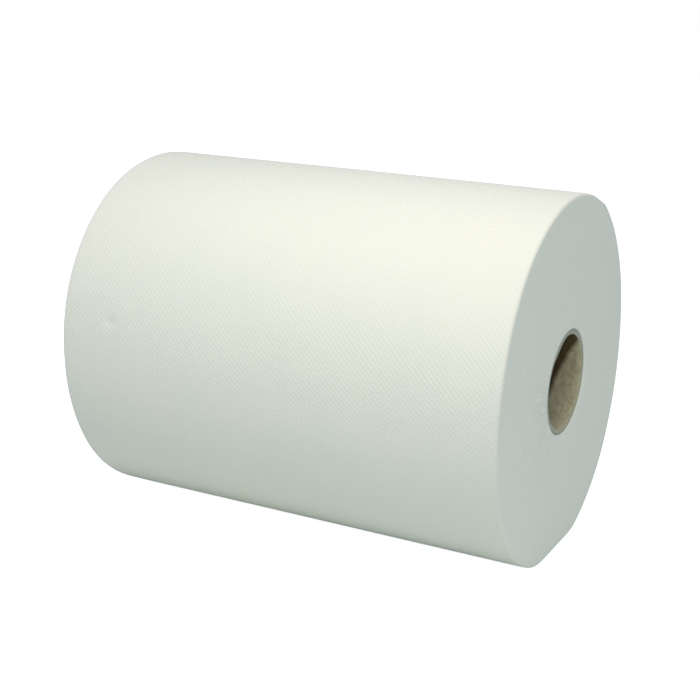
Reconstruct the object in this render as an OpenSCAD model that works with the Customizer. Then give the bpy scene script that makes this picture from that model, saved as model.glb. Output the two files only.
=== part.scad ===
// Paper towel roll that lies on its side, with its axis along X.
// The origin is on the surface that it rests on, under the middle of the roll.
// Angles round the roll are counted from straight down, through +Y, to straight up.

/* [Roll] */
// Length of the roll along its axis, which is the width of the paper web
web_w = 200; // [150:1:300]
// Diameter of the wound roll, away from its flat spot
roll_d = 158; // [130:1:180]
// Round of the paper's edge at both ends of the roll
rim_r = 2.4; // [1:0.1:4]

/* [Wound paper] */
// Thickness of the embossed web, which is the step at its loose end
web_t = 0.45; // [0.2:0.05:0.9]
// Where the loose end lies, as an angle round the roll
tail_angle = 153; // [100:1:170]
// Width of one band of turns, as the end faces show them
band_w = 6.4; // [5:0.1:9]
// Width of the spiral groove between two bands
groove_w = 0.9; // [0.5:0.1:1.5]
// Depth of the spiral groove between two bands
groove_depth = 0.3; // [0.1:0.05:0.6]

/* [Flat spot] */
// How far the roll's own weight has pressed its underside flat
flat_depth = 3.7; // [2.5:0.1:5]
// Angle from straight down, on both sides, up to which its underside is pushed in
shoulder_angle = 23; // [21:1:40]

/* [Oval] */
// How far the soft roll stands out past its round along its long diagonal, and in across it
oval = 1; // [0:0.1:2]
// Where that long diagonal lies, as an angle round the roll
oval_angle = 43; // [0:1:180]

/* [Core tube] */
// Outside diameter of the cardboard tube
core_d = 45.6; // [38:0.1:60]
// Wall of the cardboard tube
core_wall = 2.3; // [1:0.1:4]
// How far each end of the tube lies inside the end of the roll
core_inset = 0.5; // [0:0.1:3]
// Chamfer on the edges of the tube's ends
core_chamfer = 0.3; // [0.1:0.1:0.5]
// Clearance between the tube and the first turn
wind_gap = 0.05; // [0.02:0.01:0.2]

/* [Hidden] */
$fn = 96;
eps = 0.01;

roll_r = roll_d / 2;
axis_z = roll_r - flat_depth;
core_r = core_d / 2;
seat_r = core_r + wind_gap;

// The pressed sole is drawn a little under the flat, and the surface cuts it off in one plane
sole_dip = 0.2;
sole_z = axis_z + sole_dip;

// Steps round one turn, and steps round the rim's quarter circle
turn_steps = 120;
rim_steps = 3;

// First radius of the groove between the bands, and the last turn that stays clear of the rim
groove_first = core_r + band_w;
groove_limit = min(axis_z, roll_r - web_t - oval) - rim_r - groove_w / 2;
groove_turns = floor((groove_limit - 0.75 * band_w - groove_first) / band_w);

// Turns the local Z axis into the roll's axis, at its height over the surface
module on_axis() {
    translate([0, 0, axis_z]) rotate([0, 90, 0]) children();
}

// Angle from straight down, the same on both sides
function from_down(angle) = abs((angle + 180) % 360 - 180);

// How far a round of radius r reaches, whose centre lies at a distance in the direction 0
function round_reach(r, distance, angle) =
    distance * cos(angle) + sqrt(r * r - pow(distance * sin(angle), 2));

// The wound round, with turn from 0 just past the loose end to 1 at it: it grows by the
// web's thickness over that last turn, and the oval squeezes it
function round_at(turn) =
    roll_r - web_t * (1 - turn) + oval * cos(2 * (tail_angle + 360 * turn - oval_angle));

// The turn at which the round meets the shoulder, on side 1 towards +Y or on side -1
function shoulder_turn(side) = ((side * shoulder_angle - tail_angle + 720) % 360) / 360;

// The pressed underside: a straight sole in the middle, and a shoulder's round that leads
// from it into the wound round
function pressed_at(down, side) =
    let (
        rise = round_at(shoulder_turn(side)) - sole_z,
        drop = rise / (1 / cos(shoulder_angle) - 1),
        foot_angle = atan(drop * tan(shoulder_angle) / sole_z)
    )
    down < foot_angle ? sole_z / cos(down)
        : round_reach(sole_z - drop, drop / cos(shoulder_angle), down - shoulder_angle);

// Radius of the whole section
function section_at(turn) =
    let (angle = tail_angle + 360 * turn, down = from_down(angle))
    down > shoulder_angle ? round_at(turn) : pressed_at(down, sin(angle) < 0 ? -1 : 1);

// One closed ring of the section, drawn in from its edge by an inset
function section_ring(inset, along) = [
    for (i = [0:turn_steps])
        let (turn = i / turn_steps, r = section_at(turn) - inset)
        [r * cos(tail_angle + 360 * turn), r * sin(tail_angle + 360 * turn), along]
];

// The rounded rim of the near end, from the face to the wall
rim_angles = [for (i = [0:rim_steps]) 90 * (1 - i / rim_steps)];
rim_insets = [for (t = rim_angles) rim_r * (1 - cos(t))];
rim_alongs = [for (t = rim_angles) web_w / 2 - rim_r * (1 - sin(t))];
rim_count = rim_steps + 1;

// The rings of the whole roll, from the near end face to the far one
ring_insets = [for (i = [0:2 * rim_count - 1]) rim_insets[i < rim_count ? i : 2 * rim_count - 1 - i]];
ring_alongs = [
    for (i = [0:2 * rim_count - 1])
        i < rim_count ? rim_alongs[i] : -rim_alongs[2 * rim_count - 1 - i]
];

// The wound outside: rings of the section, joined side by side and closed at both ends
module wound_outside() {
    around = turn_steps + 1;
    rings = 2 * rim_count;
    polyhedron(
        points = [for (k = [0:rings - 1]) each section_ring(ring_insets[k], ring_alongs[k])],
        faces = concat(
            [[for (i = [around - 1:-1:0]) i]],
            [[for (i = [0:around - 1]) (rings - 1) * around + i]],
            [
                for (k = [0:rings - 2], i = [0:around - 1])
                    let (j = (i + 1) % around, low = k * around, high = low + around)
                    [low + i, low + j, high + j, high + i]
            ]
        )
    );
}

// Everything over the surface that the roll lies on
module over_surface() {
    translate([-roll_d, -roll_d, -web_w]) cube([roll_d + axis_z, 2 * roll_d, 2 * web_w]);
}

// Half a turn of a two-centre spiral. Side 0 starts at the loose end's angle, side 1 goes on
module half_turn(pitch, side) {
    shift = side == 0 ? -pitch / 4 : pitch / 4;
    rotate([0, 0, tail_angle]) translate([shift, 0, 0])
        rotate([0, 0, side * 180]) rotate_extrude(angle = 180) children();
}

// Section of the grooves on one end, one notch for each band
module groove_notches(r) {
    for (i = [0:groove_turns])
        translate([r + i * band_w, web_w / 2])
            polygon([[-groove_w / 2, eps], [groove_w / 2, eps], [0, -groove_depth]]);
}

// One continuous spiral groove on each end face
module end_grooves() {
    for (end = [0, 1])
        mirror([0, 0, end]) {
            half_turn(band_w, 0) groove_notches(groove_first);
            half_turn(band_w, 1) groove_notches(groove_first + band_w / 2);
        }
}

module wound_paper() {
    color([0.95, 0.95, 0.9]) on_axis() difference() {
        intersection() {
            wound_outside();
            over_surface();
        }
        end_grooves();
        cylinder(r = seat_r, h = 2 * web_w, center = true);
    }
}

module core_tube() {
    core_len = web_w - 2 * core_inset;
    bore_r = core_r - core_wall;
    color([0.66, 0.6, 0.5]) on_axis() rotate_extrude()
        polygon([
            [bore_r + core_chamfer, -core_len / 2],
            [core_r - core_chamfer, -core_len / 2],
            [core_r, core_chamfer - core_len / 2],
            [core_r, core_len / 2 - core_chamfer],
            [core_r - core_chamfer, core_len / 2],
            [bore_r + core_chamfer, core_len / 2],
            [bore_r, core_len / 2 - core_chamfer],
            [bore_r, core_chamfer - core_len / 2]
        ]);
}

wound_paper();
core_tube();
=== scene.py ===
import math

import bmesh
import bpy
from mathutils import Matrix, Vector, noise


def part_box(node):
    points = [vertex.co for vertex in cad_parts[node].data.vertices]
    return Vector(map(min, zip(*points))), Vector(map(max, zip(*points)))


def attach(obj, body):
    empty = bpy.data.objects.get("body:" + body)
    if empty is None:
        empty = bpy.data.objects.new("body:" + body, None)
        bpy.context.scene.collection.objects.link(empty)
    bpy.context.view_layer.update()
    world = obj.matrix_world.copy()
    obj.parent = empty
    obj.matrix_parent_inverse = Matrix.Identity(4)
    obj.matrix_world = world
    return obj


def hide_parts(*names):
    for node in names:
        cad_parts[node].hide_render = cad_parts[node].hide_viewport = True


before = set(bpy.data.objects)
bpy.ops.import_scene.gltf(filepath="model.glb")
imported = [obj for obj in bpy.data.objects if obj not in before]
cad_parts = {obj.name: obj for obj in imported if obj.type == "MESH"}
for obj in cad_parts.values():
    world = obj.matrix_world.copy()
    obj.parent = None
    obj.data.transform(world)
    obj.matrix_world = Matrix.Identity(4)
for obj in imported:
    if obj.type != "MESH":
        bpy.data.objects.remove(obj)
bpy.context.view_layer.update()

# what the frame says of the two pieces, in metres
paperLow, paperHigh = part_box("wound_paper")
coreLow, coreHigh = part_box("core_tube")
axisHeight = (coreLow[2] + coreHigh[2]) / 2
halfWeb = (paperHigh[0] - paperLow[0]) / 2
flatDepth = 0.0037        # how far the flat spot lies inside the roll's round
rollRadius = axisHeight + flatDepth
coreRadius = (coreHigh[2] - coreLow[2]) / 2
halfCore = (coreHigh[0] - coreLow[0]) / 2
axisPoint = (0, 0, axisHeight)


# camera, at the photograph's place
cameraLook = {
    "azimuth": 26.81,        # degrees from the front towards the near end
    "elevation": 15.65,
    "roll": -1.8,
    "focal": 68.9,        # mm, and so is the sensor
    "sensor": 36,
    "nearEnd": (1.1391, 0.1689, 7.0395),        # its middle, right, down and away, in roll radii
}


def addCamera(look):
    turn, lift, roll = (math.radians(look[key]) for key in ("azimuth", "elevation", "roll"))
    ahead = Vector((-math.sin(turn) * math.cos(lift), math.cos(turn) * math.cos(lift), -math.sin(lift)))
    levelRight = ahead.cross(Vector((0, 0, 1))).normalized()
    levelDown = ahead.cross(levelRight)
    right = levelRight * math.cos(roll) + levelDown * math.sin(roll)
    down = levelDown * math.cos(roll) - levelRight * math.sin(roll)
    across, below, away = look["nearEnd"]
    nearEnd = Vector((halfWeb, 0, axisHeight))
    place = nearEnd - (right * across + down * below + ahead * away) * rollRadius
    bpy.ops.object.camera_add()
    camera = bpy.context.object
    camera.name = "photoCamera"
    camera.data.lens = look["focal"]
    camera.data.sensor_width = look["sensor"]
    axes = Matrix((right, -down, -ahead)).transposed()
    camera.matrix_world = Matrix.Translation(place) @ axes.to_4x4()
    bpy.context.scene.camera = camera


addCamera(cameraLook)
print("camera placed")


# modelling helpers
def deselectAll():
    bpy.ops.object.select_all(action="DESELECT")


def startEdit(piece):
    deselectAll()
    piece.select_set(True)
    bpy.context.view_layer.objects.active = piece
    bpy.ops.object.mode_set(mode="EDIT")


def endEdit():
    bpy.ops.object.mode_set(mode="OBJECT")


def selectParts(piece, kind, test):
    bpy.ops.mesh.select_mode(type={"verts": "VERT", "edges": "EDGE", "faces": "FACE"}[kind])
    bpy.ops.mesh.select_all(action="DESELECT")
    mesh = bmesh.from_edit_mesh(piece.data)
    for part in getattr(mesh, kind):
        if test(part):
            part.select_set(True)
    mesh.select_flush_mode()
    bmesh.update_edit_mesh(piece.data)


def fromAxis(point):
    return math.hypot(point.y, point.z - axisHeight)


def angleOf(point):        # degrees from straight down, through +Y
    return math.degrees(math.atan2(point.y, axisHeight - point.z)) % 360


def smoothStep(low, high, value):
    share = min(max((value - low) / (high - low), 0), 1)
    return share * share * (3 - 2 * share)


def angleApart(first, second):
    return abs((first - second + 180) % 360 - 180)


# how both tubes are made
tubeMaking = {
    "endSlack": 1e-5,        # metres from an end, within which a part counts as on it
    "radiusSlack": 2e-4,
    "mergeWithin": 2e-6,
    "smoothUpTo": 50,        # degrees between two faces that still shade as one
    "sag": 0.0005,        # the cardboard tube is so much wider at each side, and lower at its top
}


def makeTube(name, outer, inner, half, look):
    # a tube along X: capped cylinder, inset caps, bridged bore, cut faces, bevelled rims
    deselectAll()
    bpy.ops.mesh.primitive_cylinder_add(
        vertices=look["columns"], radius=outer, depth=2 * half, end_fill_type="NGON",
        location=axisPoint, rotation=(0, math.pi / 2, 0))
    piece = bpy.context.object
    piece.name = name
    bpy.ops.object.transform_apply(location=True, rotation=True, scale=True)
    endLine = half - tubeMaking["endSlack"]

    def onEnd(part):
        return abs(sum(corner.co.x for corner in part.verts)) > endLine * len(part.verts)

    def atRadius(part, radius):
        slack = tubeMaking["radiusSlack"]
        return all(abs(fromAxis(corner.co) - radius) < slack for corner in part.verts)

    def acrossEnd(part):
        first, second = (fromAxis(corner.co) for corner in part.verts)
        return onEnd(part) and abs(first - second) > (outer - inner) / 2

    def alongWall(part, radius):
        first, second = (corner.co.x for corner in part.verts)
        return atRadius(part, radius) and abs(first - second) > half

    startEdit(piece)
    selectParts(piece, "faces", onEnd)
    bpy.ops.mesh.inset(thickness=outer - inner)
    bpy.ops.mesh.bridge_edge_loops()
    selectParts(piece, "edges", acrossEnd)
    bpy.ops.mesh.subdivide(number_cuts=look["faceCuts"])
    for radius, width, steps in ((outer, "rim", "rimSteps"), (inner, "mouth", "mouthSteps")):
        selectParts(piece, "edges", lambda part: onEnd(part) and atRadius(part, radius))
        bpy.ops.mesh.bevel(offset=look[width], segments=look[steps], profile=0.5)
    for radius, cuts in ((outer, look["wallCuts"]), (inner, look["boreCuts"])):
        if cuts:
            selectParts(piece, "edges", lambda part: alongWall(part, radius))
            bpy.ops.mesh.subdivide(number_cuts=cuts)
    endEdit()
    return piece


def coreOval(angle):        # what the tube's sag adds to its radius
    return -tubeMaking["sag"] * math.cos(math.radians(2 * angle))


def finishTube(piece):
    startEdit(piece)
    bpy.ops.mesh.select_all(action="SELECT")
    bpy.ops.mesh.remove_doubles(threshold=tubeMaking["mergeWithin"])
    bpy.ops.mesh.normals_make_consistent(inside=False)
    endEdit()
    bpy.ops.object.shade_smooth_by_angle(angle=math.radians(tubeMaking["smoothUpTo"]))


# the wound paper: embossed wall, rounded rims, loose end, flat spot
paperLook = {
    "columns": 432,        # two to each embossed cell
    "faceCuts": 19,
    "rim": 0.0012,
    "rimSteps": 5,
    "rimCut": 0.3,        # share of the rim, from the end, that is painted as cut edges
    "mouth": 0.0006,
    "mouthSteps": 2,
    "wallCuts": 167,
    "boreCuts": 0,
    "seatGap": 0.00005,
    "wallFrom": 0.95,        # share of the roll's radius from which a corner belongs to the wall
    "paintFrom": 0.9,        # and from which a face can be painted as wall
    "dotHeight": 0.00018,
    "flattened": 0.6,        # share of the dots' height that the roll's weight takes, low on the roll
    "flattenedOver": (60, 110),        # degrees from straight down, from all of it to none
    "webThickness": 0.00045,
    "looseEnd": 155,        # degrees from straight down
    "plainColumns": 1.5,        # columns on each side of the loose end that have no dots
    "stepWidth": 0.06,        # degrees between the top and the foot of the loose end's step
    "stepBack": 0.001,        # degrees before the loose end, where the radius of its top is read
    "looseLift": 0.0004,        # how far the loose end stands off at the near end
    "liftAngle": 14,
    "liftFrom": 0.5,        # share of the way to the near end, where the lift begins
    "shoulderAngle": 23,        # up to here, from straight down, the underside is pressed in
    "soleDip": 0.0002,
    "groundSlack": 0.00002,        # what is lower than this is laid on the ground
    "lobes": ((2, 0.001, 43), (3, 0.00011, 65), (4, 0.00044, 51)),        # how many, height, place
    "ripple": {"height": 0.00018, "along": 9, "around": 4},
    "faceWave": {"depth": 0.0003, "from": 0.9, "around": 2.2, "radial": 60},
    "pressMark": {"along": -0.0758, "angle": 257.6, "size": 0.002, "depth": 0.0008},
}


def roundRadius(angle, look):
    turned = ((angle - look["looseEnd"]) % 360) / 360
    radius = rollRadius - look["webThickness"] * (1 - turned)
    for count, height, place in look["lobes"]:
        radius += height * math.cos(math.radians(count * (angle - place)))
    return radius


def sectionRadius(angle, look):
    # the wound round, and under it a straight sole with a shoulder on both sides
    down = math.radians(angleApart(angle, 0))
    lean = math.radians(look["shoulderAngle"])
    if down > lean:
        return roundRadius(angle, look)
    shoulder = look["shoulderAngle"] if angle < 180 else -look["shoulderAngle"]
    sole = axisHeight + look["soleDip"]
    drop = (roundRadius(shoulder, look) - sole) / (1 / math.cos(lean) - 1)
    if down < math.atan(drop * math.tan(lean) / sole):
        return sole / math.cos(down)
    distance = drop / math.cos(lean)
    turn = down - lean
    return distance * math.cos(turn) + math.sqrt((sole - drop) ** 2 - (distance * math.sin(turn)) ** 2)


def embossWall(piece, look):
    # every second corner of the wall's net is a dot of the embossing
    wallHalf = halfWeb - look["rim"]
    columnAngle = 360 / look["columns"]
    rowLength = 2 * wallHalf / (look["wallCuts"] + 1)

    def isDot(corner):
        angle = angleOf(corner.co)
        if abs(corner.co.x) > wallHalf - rowLength / 2:
            return False
        if fromAxis(corner.co) < rollRadius * look["wallFrom"]:
            return False
        if angleApart(angle, look["looseEnd"]) < columnAngle * look["plainColumns"]:
            return False
        column = round(angle / columnAngle)
        row = round((corner.co.x + wallHalf) / rowLength)
        return (column + row) % 2 == 0

    startEdit(piece)
    selectParts(piece, "verts", isDot)
    bpy.ops.transform.shrink_fatten(value=look["dotHeight"])
    endEdit()


def stepAngles(angle, look):
    # a corner's own angle, and the one that gives its radius: beside the loose end, the columns
    # close up into its step
    looseEnd = look["looseEnd"]
    if angleApart(angle, looseEnd) >= 360 / look["columns"]:
        return angle, angle
    if (angle - looseEnd) % 360 < 180:
        return looseEnd + look["stepWidth"], looseEnd + look["stepWidth"]
    return looseEnd, looseEnd - look["stepBack"]


def wallSkin(point, angle, radius, look):
    # dots flattened by the roll's weight, lifted loose end, press mark and a slow ripple
    turn = math.radians(angle)
    pressed = look["flattened"] * (1 - smoothStep(*look["flattenedOver"], angleApart(angle, 0)))
    radius -= pressed * max(fromAxis(point) - rollRadius, 0)
    before = (look["looseEnd"] - angle) % 360
    nearEnd = smoothStep(halfWeb * look["liftFrom"], halfWeb, point.x)
    radius += look["looseLift"] * nearEnd * (1 - smoothStep(0, look["liftAngle"], before))
    mark = look["pressMark"]
    markSide = math.radians(angleApart(angle, mark["angle"])) * rollRadius
    away = math.hypot(point.x - mark["along"], markSide)
    radius -= mark["depth"] * math.exp(-(away / mark["size"]) ** 2)
    ripple = look["ripple"]
    rippled = noise.noise(Vector((point.x * ripple["along"], math.cos(turn) * ripple["around"],
                                  math.sin(turn) * ripple["around"])))
    return radius + ripple["height"] * rippled


def pressRoll(piece, look):
    # bends the true tube into the soft roll: spiral step, shoulders, sole, wavy ends
    boreRadius = coreRadius + look["seatGap"]
    wave = look["faceWave"]
    for corner in piece.data.vertices:
        radius = fromAxis(corner.co)
        give = smoothStep(boreRadius, rollRadius, radius)
        angle, sectionAngle = stepAngles(angleOf(corner.co), look)
        turn = math.radians(angle)
        radius *= 1 + give * (sectionRadius(sectionAngle, look) / rollRadius - 1)
        radius += (1 - give) * coreOval(angle)
        if radius > rollRadius * look["wallFrom"]:
            radius = wallSkin(corner.co, angle, radius, look)
        swell = smoothStep(halfWeb * wave["from"], halfWeb, abs(corner.co.x)) * give
        waved = noise.noise(Vector((math.cos(turn) * wave["around"], math.sin(turn) * wave["around"],
                                    radius * wave["radial"])))
        side = 1 if corner.co.x > 0 else -1
        corner.co.x -= side * wave["depth"] * swell * (0.5 + 0.5 * waved)
        corner.co.y = radius * math.sin(turn)
        corner.co.z = axisHeight - radius * math.cos(turn)
    startEdit(piece)
    selectParts(piece, "verts", lambda corner: corner.co.z < look["groundSlack"])
    bpy.ops.transform.resize(value=(1, 1, 0), center_override=(0, 0, 0))
    endEdit()


def makePaper(look):
    piece = makeTube("embossedRoll", rollRadius, coreRadius + look["seatGap"], halfWeb, look)
    embossWall(piece, look)
    pressRoll(piece, look)
    finishTube(piece)
    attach(piece, "root")
    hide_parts("wound_paper")
    return piece


paperRoll = makePaper(paperLook)
print("paper wound and embossed:", len(paperRoll.data.polygons), "faces")


# the cardboard tube, with the dent in its near mouth
tubeLook = {
    "columns": 144,
    "faceCuts": 3,
    "rim": 0.0003,
    "rimSteps": 2,
    "mouth": 0.0004,
    "mouthSteps": 2,
    "wallCuts": 1,
    "boreCuts": 90,
    "wall": 0.0023,
    "dentAngle": 217,        # degrees from straight down
    "dentWidth": 20,
    "dentDepth": 0.0013,
    "dentLength": 0.012,
    "dentFrom": 0.0006,        # metres under its outside, where the dent begins
    "warp": 0.00012,
    "warpAlong": 25,
}


def dentTube(piece, look):
    for corner in piece.data.vertices:
        radius = fromAxis(corner.co)
        inside = smoothStep(coreRadius - look["dentFrom"], coreRadius - look["wall"], radius)
        angle = angleOf(corner.co)
        turn = math.radians(angle)
        spread = math.exp(-(angleApart(angle, look["dentAngle"]) / look["dentWidth"]) ** 2)
        reach = 1 - smoothStep(0, look["dentLength"], halfCore - corner.co.x)
        warped = noise.noise(Vector((corner.co.x * look["warpAlong"], math.cos(turn), math.sin(turn))))
        radius -= inside * (look["dentDepth"] * spread * reach - look["warp"] * warped)
        radius += coreOval(angle)
        corner.co.y = radius * math.sin(turn)
        corner.co.z = axisHeight - radius * math.cos(turn)


def makeCore(look):
    piece = makeTube("coreTube", coreRadius, coreRadius - look["wall"], halfCore, look)
    dentTube(piece, look)
    finishTube(piece)
    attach(piece, "root")
    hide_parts("core_tube")
    return piece


coreTube = makeCore(tubeLook)
print("core tube made:", len(coreTube.data.polygons), "faces")


# material helpers: a socket or a number goes in, a socket comes out
def feed(tree, target, value):
    if isinstance(value, bpy.types.NodeSocket):
        tree.links.new(value, target)
    else:
        target.default_value = value


def maths(tree, operation, *values):
    step = tree.nodes.new("ShaderNodeMath")
    step.operation = operation
    for target, value in zip(step.inputs, values):
        feed(tree, target, value)
    return step.outputs[0]


def joinXyz(tree, x, y, z):
    step = tree.nodes.new("ShaderNodeCombineXYZ")
    for target, value in zip(step.inputs, (x, y, z)):
        feed(tree, target, value)
    return step.outputs[0]


def splitXyz(tree, vector):
    step = tree.nodes.new("ShaderNodeSeparateXYZ")
    tree.links.new(vector, step.inputs[0])
    return step.outputs


def softNoise(tree, vector, scale, detail, roughness):
    step = tree.nodes.new("ShaderNodeTexNoise")
    for name, value in zip(("Vector", "Scale", "Detail", "Roughness"), (vector, scale, detail, roughness)):
        feed(tree, step.inputs[name], value)
    return step.outputs["Fac"]


def remap(tree, value, low, high, newLow=0.0, newHigh=1.0):
    step = tree.nodes.new("ShaderNodeMapRange")
    step.interpolation_type = "SMOOTHSTEP"
    for name, item in zip(("Value", "From Min", "From Max", "To Min", "To Max"),
                          (value, low, high, newLow, newHigh)):
        feed(tree, step.inputs[name], item)
    return step.outputs["Result"]


def mixColour(tree, factor, first, second, blend="MIX"):
    step = tree.nodes.new("ShaderNodeMix")
    step.data_type = "RGBA"
    step.blend_type = blend
    feed(tree, step.inputs["Factor"], factor)
    feed(tree, step.inputs[6], first)
    feed(tree, step.inputs[7], second)
    return step.outputs[2]


def bumped(tree, height, distance, strength, under=None):
    step = tree.nodes.new("ShaderNodeBump")
    step.inputs["Distance"].default_value = distance
    step.inputs["Strength"].default_value = strength
    tree.links.new(height, step.inputs["Height"])
    if under is not None:
        tree.links.new(under, step.inputs["Normal"])
    return step.outputs["Normal"]


def startGroup(name, inputs, outputs):
    group = bpy.data.node_groups.new(name, "ShaderNodeTree")
    for label, kind in inputs:
        group.interface.new_socket(name=label, in_out="INPUT", socket_type=kind)
    for label, kind in outputs:
        group.interface.new_socket(name=label, in_out="OUTPUT", socket_type=kind)
    return group, group.nodes.new("NodeGroupInput").outputs, group.nodes.new("NodeGroupOutput").inputs


def placeGroup(tree, group, **values):
    step = tree.nodes.new("ShaderNodeGroup")
    step.node_tree = group
    for name, value in values.items():
        feed(tree, step.inputs[name], value)
    return step.outputs


# angle round the roll and distance from its axis, in every material of the roll
def makeRollPlace():
    group, given, result = startGroup(
        "rollPlace",
        (("Vector", "NodeSocketVector"), ("Height", "NodeSocketFloat")),
        (("Angle", "NodeSocketFloat"), ("Radius", "NodeSocketFloat"), ("Along", "NodeSocketFloat"),
         ("Round", "NodeSocketVector")))
    x, y, z = splitXyz(group, given["Vector"])
    up = maths(group, "SUBTRACT", z, given["Height"])
    angle = maths(group, "ARCTAN2", y, maths(group, "MULTIPLY", up, -1.0))
    radius = maths(group, "SQRT", maths(group, "ADD", maths(group, "MULTIPLY", y, y),
                                        maths(group, "MULTIPLY", up, up)))
    group.links.new(angle, result["Angle"])
    group.links.new(radius, result["Radius"])
    group.links.new(x, result["Along"])
    direction = joinXyz(group, maths(group, "DIVIDE", y, radius), maths(group, "DIVIDE", up, radius), 0.0)
    group.links.new(direction, result["Round"])
    return group


# fibres and crepe: a fine grain, drawn out by a stretch along X, and a slow mottle
fibreLook = {
    "grain": (4.0, 0.62),        # detail and roughness
    "mottle": (34.0, 3.0, 0.55),        # scale, detail and roughness
}


def makeFibreGrain(look):
    group, given, result = startGroup(
        "fibreGrain",
        (("Vector", "NodeSocketVector"), ("Scale", "NodeSocketFloat"), ("Stretch", "NodeSocketFloat")),
        (("Grain", "NodeSocketFloat"), ("Mottle", "NodeSocketFloat")))
    x, y, z = splitXyz(group, given["Vector"])
    drawn = joinXyz(group, maths(group, "DIVIDE", x, given["Stretch"]), y, z)
    group.links.new(softNoise(group, drawn, given["Scale"], *look["grain"]), result["Grain"])
    group.links.new(softNoise(group, given["Vector"], *look["mottle"]), result["Mottle"])
    return group


rollPlace = makeRollPlace()
fibreGrain = makeFibreGrain(fibreLook)


def startMaterial(name, paint):
    material = bpy.data.materials.new(name)
    material.use_nodes = True
    tree = material.node_tree
    shader = tree.nodes["Principled BSDF"]
    for socket, value in paint["finish"].items():
        shader.inputs[socket].default_value = value
    vector = tree.nodes.new("ShaderNodeTexCoord").outputs["Object"]
    place = placeGroup(tree, rollPlace, Vector=vector, Height=axisHeight)
    grain = placeGroup(tree, fibreGrain, Vector=vector, **paint["grain"])
    return material, tree, shader, place, grain


# the embossed wall of the web; each depth is a bump's height in metres and its strength
wallPaint = {
    "paper": (0.872, 0.876, 0.828, 1),
    "hollow": (0.848, 0.856, 0.808, 1),        # painted shade between the dots
    "hollowShare": 0.5,
    "shade": (0.845, 0.862, 0.820, 1),        # slow clouding of the pulp
    "shadeOver": (0.35, 0.7),
    "cellsRound": paperLook["columns"] // 2,
    "cellLength": 4 * (halfWeb - paperLook["rim"]) / (paperLook["wallCuts"] + 1),
    "dotLean": 0.18,        # draws the dots out along one diagonal of their net
    "dotOver": (-0.15, 0.75),        # from hollow to dot, on the net's waves
    "dotDepth": (0.00009, 0.8),
    "relief": (-0.5, 0.3, 0.35, 1.0),        # from low on the roll to high, and what is left of the dots
    "rimHighlight": (0.94, 0.95, 0.92, 1),        # painted highlight: a thin pale line low on both rims
    "rimHighlightOver": (0.0011, 0.00044),        # metres from the end, from none of it to all
    "rimHighlightLow": (-0.2, -0.6),
    "rimHighlightShare": 0.75,
    "grain": {"Scale": 1500.0, "Stretch": 3.5},
    "grainDepth": (0.00007, 0.6),
    "roughness": (0.3, 0.7, 0.86, 0.96),
    "finish": {"Specular IOR Level": 0.25, "Sheen Weight": 0.08, "Sheen Roughness": 0.6},
}


def paintWall(paint):
    material, tree, shader, place, grain = startMaterial("embossedTissue", paint)
    aroundTurn = maths(tree, "MULTIPLY", place["Angle"], float(paint["cellsRound"]))
    around = maths(tree, "COSINE", aroundTurn)
    alongTurn = maths(tree, "MULTIPLY", place["Along"], 2 * math.pi / paint["cellLength"])
    along = maths(tree, "COSINE", alongTurn)
    straight = maths(tree, "MULTIPLY", around, along)
    leaning = maths(tree, "MULTIPLY", maths(tree, "SINE", aroundTurn), maths(tree, "SINE", alongTurn))
    net = maths(tree, "MULTIPLY_ADD", leaning, paint["dotLean"], straight)
    dot = remap(tree, net, *paint["dotOver"])
    clouds = remap(tree, grain["Mottle"], *paint["shadeOver"])
    clouded = mixColour(tree, clouds, paint["paper"], paint["shade"])
    # low on the roll its weight has pressed the dots flatter
    upper = splitXyz(tree, place["Round"])[1]
    relief = remap(tree, upper, *paint["relief"])
    # painted shade: the hollows between the dots are darkened, less so low on the roll
    hollow = maths(tree, "SUBTRACT", 1.0, dot)
    hollowShare = maths(tree, "MULTIPLY", hollow, maths(tree, "MULTIPLY", relief, paint["hollowShare"]))
    coloured = mixColour(tree, hollowShare, clouded, paint["hollow"])
    # painted highlight along the rims, low on the roll
    fromEnd = maths(tree, "SUBTRACT", halfWeb, maths(tree, "ABSOLUTE", place["Along"]))
    rimHighlight = maths(tree, "MULTIPLY", remap(tree, fromEnd, *paint["rimHighlightOver"]),
                 remap(tree, upper, *paint["rimHighlightLow"]))
    rimHighlightShare = maths(tree, "MULTIPLY", rimHighlight, paint["rimHighlightShare"])
    coloured = mixColour(tree, rimHighlightShare, coloured, paint["rimHighlight"])
    tree.links.new(coloured, shader.inputs["Base Color"])
    tree.links.new(remap(tree, grain["Grain"], *paint["roughness"]), shader.inputs["Roughness"])
    fine = bumped(tree, grain["Grain"], *paint["grainDepth"])
    dots = maths(tree, "MULTIPLY", dot, relief)
    tree.links.new(bumped(tree, dots, *paint["dotDepth"], fine), shader.inputs["Normal"])
    return material


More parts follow.
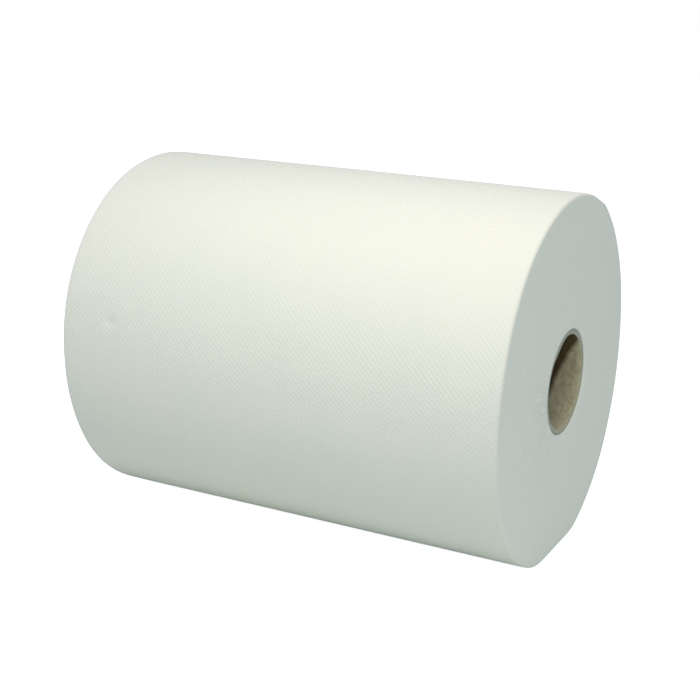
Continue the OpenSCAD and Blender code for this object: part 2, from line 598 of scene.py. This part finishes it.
# the cut edges of the turns on both end faces
edgePaint = {
    "edge": (0.915, 0.933, 0.864, 1),
    "line": (0.800, 0.825, 0.760, 1),        # between two turns
    "turnPitch": 0.00036,
    "lineShare": 0.06,
    "lineDepth": (0.00003, 0.4),
    "ringsAround": 1.4,        # how soon the rings change round the roll, and from its axis out
    "ringsRadial": 900.0,
    "ringNoise": (1.0, 3.0, 0.6),        # scale, detail and roughness
    "ringOver": (0.35, 0.75),
    "ringShare": 0.16,
    "ringDepth": (0.00009, 0.5),
    "wanderRadial": 30.0,        # the rings wander a little off true circles
    "wanderNoise": (5.0, 2.0, 0.5),
    "crease": (0.99, 1.0, 0.97, 1),        # painted highlight: paler ridges of the wrinkles
    "creaseNoise": (1.6, 3.0, 0.6),
    "creaseOver": (0.5, 0.64),
    "creaseAround": 21.0,
    "creaseRadial": 50.0,
    "creaseShare": 0.55,
    "creaseDepth": (0.0003, 0.6),
    "wrinkleAngle": 288,        # degrees from straight down, where the wrinkles fan out
    "wrinkleWidth": 64,
    "wrinkleReach": (0.5, 0.95),        # shares of the roll's radius, from all of them to none
    "grain": {"Scale": 1100.0, "Stretch": 1.0},
    "grainDepth": (0.0001, 0.5),
    "finish": {"Roughness": 0.95, "Specular IOR Level": 0.2},
}


def paintEdges(paint):
    material, tree, shader, place, grain = startMaterial("webEdges", paint)
    x, y = splitXyz(tree, place["Round"])[:2]

    def polar(around, radial):
        return (maths(tree, "MULTIPLY", x, around), maths(tree, "MULTIPLY", y, around),
                maths(tree, "MULTIPLY", place["Radius"], radial))

    # fine lines, one to each turn, and broader rings where the winding was looser or tighter
    turnShare = maths(tree, "DIVIDE", place["Angle"], 2 * math.pi)
    turns = maths(tree, "DIVIDE", place["Radius"], paint["turnPitch"])
    spiral = maths(tree, "MULTIPLY", maths(tree, "SUBTRACT", turns, turnShare), 2 * math.pi)
    lines = maths(tree, "MULTIPLY_ADD", maths(tree, "SINE", spiral), 0.5, 0.5)
    wander = softNoise(tree, joinXyz(tree, *polar(1.0, paint["wanderRadial"])), *paint["wanderNoise"])
    ringX, ringY, ringOut = polar(paint["ringsAround"], paint["ringsRadial"])
    ringVector = joinXyz(tree, ringX, ringY, maths(tree, "ADD", ringOut, wander))
    rings = softNoise(tree, ringVector, *paint["ringNoise"])
    # radial wrinkles: fast round the axis, slow along the radius, only where they fan out
    radial = joinXyz(tree, *polar(paint["creaseAround"], paint["creaseRadial"]))
    creases = remap(tree, softNoise(tree, radial, *paint["creaseNoise"]), *paint["creaseOver"])
    turn = math.radians(paint["wrinkleAngle"])
    facing = maths(tree, "ADD", maths(tree, "MULTIPLY", x, math.sin(turn)),
                   maths(tree, "MULTIPLY", y, -math.cos(turn)))
    fan = remap(tree, facing, math.cos(math.radians(paint["wrinkleWidth"])), 1.0)
    full, none = (rollRadius * share for share in paint["wrinkleReach"])
    reach = remap(tree, place["Radius"], full, none, 1.0, 0.0)
    wrinkles = maths(tree, "MULTIPLY", creases, maths(tree, "MULTIPLY", fan, reach))
    ringShare = maths(tree, "MULTIPLY", remap(tree, rings, *paint["ringOver"]), paint["ringShare"])
    coloured = mixColour(tree, ringShare, paint["edge"], paint["line"])
    lineShare = maths(tree, "MULTIPLY", lines, paint["lineShare"])
    coloured = mixColour(tree, lineShare, coloured, paint["line"])
    # painted highlight on the ridges of the wrinkles
    creaseShare = maths(tree, "MULTIPLY", wrinkles, paint["creaseShare"])
    coloured = mixColour(tree, creaseShare, coloured, paint["crease"])
    tree.links.new(coloured, shader.inputs["Base Color"])
    fine = bumped(tree, grain["Grain"], *paint["grainDepth"])
    turned = bumped(tree, rings, *paint["ringDepth"], fine)
    lined = bumped(tree, lines, *paint["lineDepth"], turned)
    tree.links.new(bumped(tree, wrinkles, *paint["creaseDepth"], lined), shader.inputs["Normal"])
    return material


# brown board of the tube, with painted light near its mouths and painted shade deeper in and at its top,
# and lighter on its cut ends
boardPaint = {
    # painted shade: the board darkened deeper in the tube and at its top
    "board": (0.120, 0.082, 0.036, 1),
    "paintedLight": (0.700, 0.635, 0.435, 1),        # painted light: the board pale near the mouths, at the sides and below
    "litSide": 0.0089,        # metres that the painted light reaches into the tube at its sides
    "litLower": 0.0084,        # and at its bottom; there is none at its top
    "litEdge": 0.0015,
    "dark": (0.75, 0.72, 0.66, 1),        # darkens mottle, grain and seam
    "mottleOver": (0.65, 0.35, 0.0, 0.6),
    "darkOver": (0.56, 0.40, 0.0, 0.75),
    "fleck": (0.62, 0.58, 0.46, 1),
    "fleckOver": (0.60, 0.72, 0.0, 0.25),
    "cutOuter": (0.340, 0.380, 0.315, 1),
    "cutInner": (0.435, 0.450, 0.345, 1),        # the tube's inner plies, paler where they are cut
    "cutFrom": (0.0004, 0.0001),        # metres from the tube's end, from board to cut
    "innerFrom": (0.7, 0.4),        # shares of the tube's wall, from inner plies to outer ones
    "plyPitch": 0.00045,
    "plyOver": (-0.6, 1.0, 0.0, 0.2),
    "seamPitch": 0.105,        # metres of tube for one turn of the seam
    "seamWidth": 0.0009,
    "seamShare": 0.6,
    "seamDepth": (-0.00025, 0.8),
    "grain": {"Scale": 360.0, "Stretch": 0.7},
    "grainDepth": (0.00012, 0.6),
    "roughness": (0.3, 0.7, 0.78, 0.92),
    "finish": {"Specular IOR Level": 0.3},
}


def paintBoard(paint):
    material, tree, shader, place, grain = startMaterial("greyBoard", paint)
    fromMiddle = maths(tree, "ABSOLUTE", place["Along"])
    depth = maths(tree, "SUBTRACT", halfCore, fromMiddle)
    side, upper = splitXyz(tree, place["Round"])[:2]
    # painted light near the mouths, at the sides and below, and painted shade deeper in and at the top,
    # along the edge of a shadow
    sideReach = maths(tree, "MULTIPLY", maths(tree, "ABSOLUTE", side), paint["litSide"])
    litLine = maths(tree, "SUBTRACT", sideReach, maths(tree, "MULTIPLY", upper, paint["litLower"]))
    paintedShade = remap(tree, maths(tree, "SUBTRACT", depth, litLine), -paint["litEdge"], paint["litEdge"])
    toned = mixColour(tree, paintedShade, paint["paintedLight"], paint["board"])
    for source, share in ((grain["Mottle"], "mottleOver"), (grain["Grain"], "darkOver")):
        toned = mixColour(tree, remap(tree, source, *paint[share]), toned, paint["dark"], "MULTIPLY")
    flecked = mixColour(tree, remap(tree, grain["Grain"], *paint["fleckOver"]), toned, paint["fleck"])
    # the inner ply is wound as a helix, and its edges leave one fine seam
    turnShare = maths(tree, "DIVIDE", place["Angle"], 2 * math.pi)
    helix = maths(tree, "SUBTRACT", maths(tree, "DIVIDE", place["Along"], paint["seamPitch"]), turnShare)
    across = maths(tree, "PINGPONG", helix, 0.5)
    seam = remap(tree, across, 0.0, paint["seamWidth"] / paint["seamPitch"], 1.0, 0.0)
    seamShare = maths(tree, "MULTIPLY", seam, paint["seamShare"])
    seamed = mixColour(tree, seamShare, flecked, paint["dark"], "MULTIPLY")
    # the cut ends, with the edges of the plies
    endMask = remap(tree, fromMiddle, *(halfCore - width for width in paint["cutFrom"]))
    innerEdge, outerEdge = (coreRadius - tubeLook["wall"] * share for share in paint["innerFrom"])
    inner = remap(tree, place["Radius"], innerEdge, outerEdge, 1.0, 0.0)
    plies = maths(tree, "SINE", maths(tree, "MULTIPLY", place["Radius"], 2 * math.pi / paint["plyPitch"]))
    cutEnd = mixColour(tree, inner, paint["cutOuter"], paint["cutInner"])
    cutEnd = mixColour(tree, remap(tree, plies, *paint["plyOver"]), cutEnd, paint["fleck"])
    tree.links.new(mixColour(tree, endMask, seamed, cutEnd), shader.inputs["Base Color"])
    tree.links.new(remap(tree, grain["Grain"], *paint["roughness"]), shader.inputs["Roughness"])
    fine = bumped(tree, grain["Grain"], *paint["grainDepth"])
    tree.links.new(bumped(tree, seam, *paint["seamDepth"], fine), shader.inputs["Normal"])
    return material


def dressPaper(piece, look):
    piece.data.materials.append(paintWall(wallPaint))
    piece.data.materials.append(paintEdges(edgePaint))
    faceLine = halfWeb - look["rim"] * look["rimCut"]

    def isCut(face):
        middle = face.calc_center_median()
        return abs(middle.x) > faceLine or fromAxis(middle) < rollRadius * look["paintFrom"]

    startEdit(piece)
    selectParts(piece, "faces", isCut)
    piece.active_material_index = 1
    bpy.ops.object.material_slot_assign()
    endEdit()


dressPaper(paperRoll, paperLook)
coreTube.data.materials.append(paintBoard(boardPaint))
print("materials made")


# floor, lamps and world
stageLook = {
    "floorSize": 6,
    "floorDrop": 0.0002,        # the floor lies a hair under the roll
    "floorColour": (0.755, 0.81, 0.775, 1),
    "floorGlow": 0.9,        # seen by the camera alone, so that the floor reads as white
    "ambient": (0.888, 0.936, 1.0, 1),
    "ambientStrength": 0.545,
    "background": (1, 1, 1, 1),
}
keyLamp = {
    "name": "softKey",
    "place": (0.062, -0.235, 0.41),
    "target": (0.05, 0, 0.08),
    "size": (0.22, 0.12),        # a long soft box beside the roll
    "power": 0.69,
    "colour": (1.0, 0.95, 0.765),
}
frontLamp = {
    "name": "softFront",
    "place": (0.996, -1.128, 0.707),
    "target": (0.05, 0, 0.08),
    "size": (0.35, 0.35),
    "power": 1.35,
    "colour": (0.86, 0.97, 0.95),
}


def addFloor(look):
    deselectAll()
    bpy.ops.mesh.primitive_plane_add(size=look["floorSize"], location=(0, 0, -look["floorDrop"]))
    floor = bpy.context.object
    floor.name = "floor"
    bpy.ops.object.transform_apply(location=True, rotation=True, scale=True)
    material = bpy.data.materials.new("paleFloor")
    material.use_nodes = True
    tree = material.node_tree
    tree.nodes.remove(tree.nodes["Principled BSDF"])
    matte = tree.nodes.new("ShaderNodeBsdfDiffuse")
    matte.inputs["Color"].default_value = look["floorColour"]
    glow = tree.nodes.new("ShaderNodeEmission")
    rays = tree.nodes.new("ShaderNodeLightPath")
    seen = maths(tree, "MULTIPLY", rays.outputs["Is Camera Ray"], look["floorGlow"])
    tree.links.new(seen, glow.inputs["Strength"])
    both = tree.nodes.new("ShaderNodeAddShader")
    tree.links.new(matte.outputs[0], both.inputs[0])
    tree.links.new(glow.outputs[0], both.inputs[1])
    tree.links.new(both.outputs[0], tree.nodes["Material Output"].inputs["Surface"])
    floor.data.materials.append(material)


def addLamp(look):
    deselectAll()
    bpy.ops.object.light_add(type="AREA", location=look["place"])
    lamp = bpy.context.object
    lamp.name = look["name"]
    lamp.data.shape = "RECTANGLE"
    lamp.data.size, lamp.data.size_y = look["size"]
    lamp.data.energy = look["power"]
    lamp.data.color = look["colour"]
    aim = Vector(look["target"]) - Vector(look["place"])
    lamp.rotation_euler = aim.to_track_quat("-Z", "Y").to_euler()


def addWorld(look):
    world = bpy.data.worlds.new("paleRoom")
    bpy.context.scene.world = world
    world.use_nodes = True
    tree = world.node_tree
    ambient = tree.nodes["Background"]
    ambient.inputs["Color"].default_value = look["ambient"]
    ambient.inputs["Strength"].default_value = look["ambientStrength"]
    white = tree.nodes.new("ShaderNodeBackground")
    white.inputs["Color"].default_value = look["background"]
    rays = tree.nodes.new("ShaderNodeLightPath")
    seen = maths(tree, "MAXIMUM", rays.outputs["Is Camera Ray"], rays.outputs["Is Glossy Ray"])
    seen = maths(tree, "MAXIMUM", seen, rays.outputs["Is Transmission Ray"])
    choice = tree.nodes.new("ShaderNodeMixShader")
    tree.links.new(seen, choice.inputs[0])
    tree.links.new(ambient.outputs[0], choice.inputs[1])
    tree.links.new(white.outputs[0], choice.inputs[2])
    tree.links.new(choice.outputs[0], tree.nodes["World Output"].inputs["Surface"])


addFloor(stageLook)
addLamp(keyLamp)
addLamp(frontLamp)
addWorld(stageLook)
bpy.context.scene.view_settings.view_transform = "Standard"
print("stage lit")
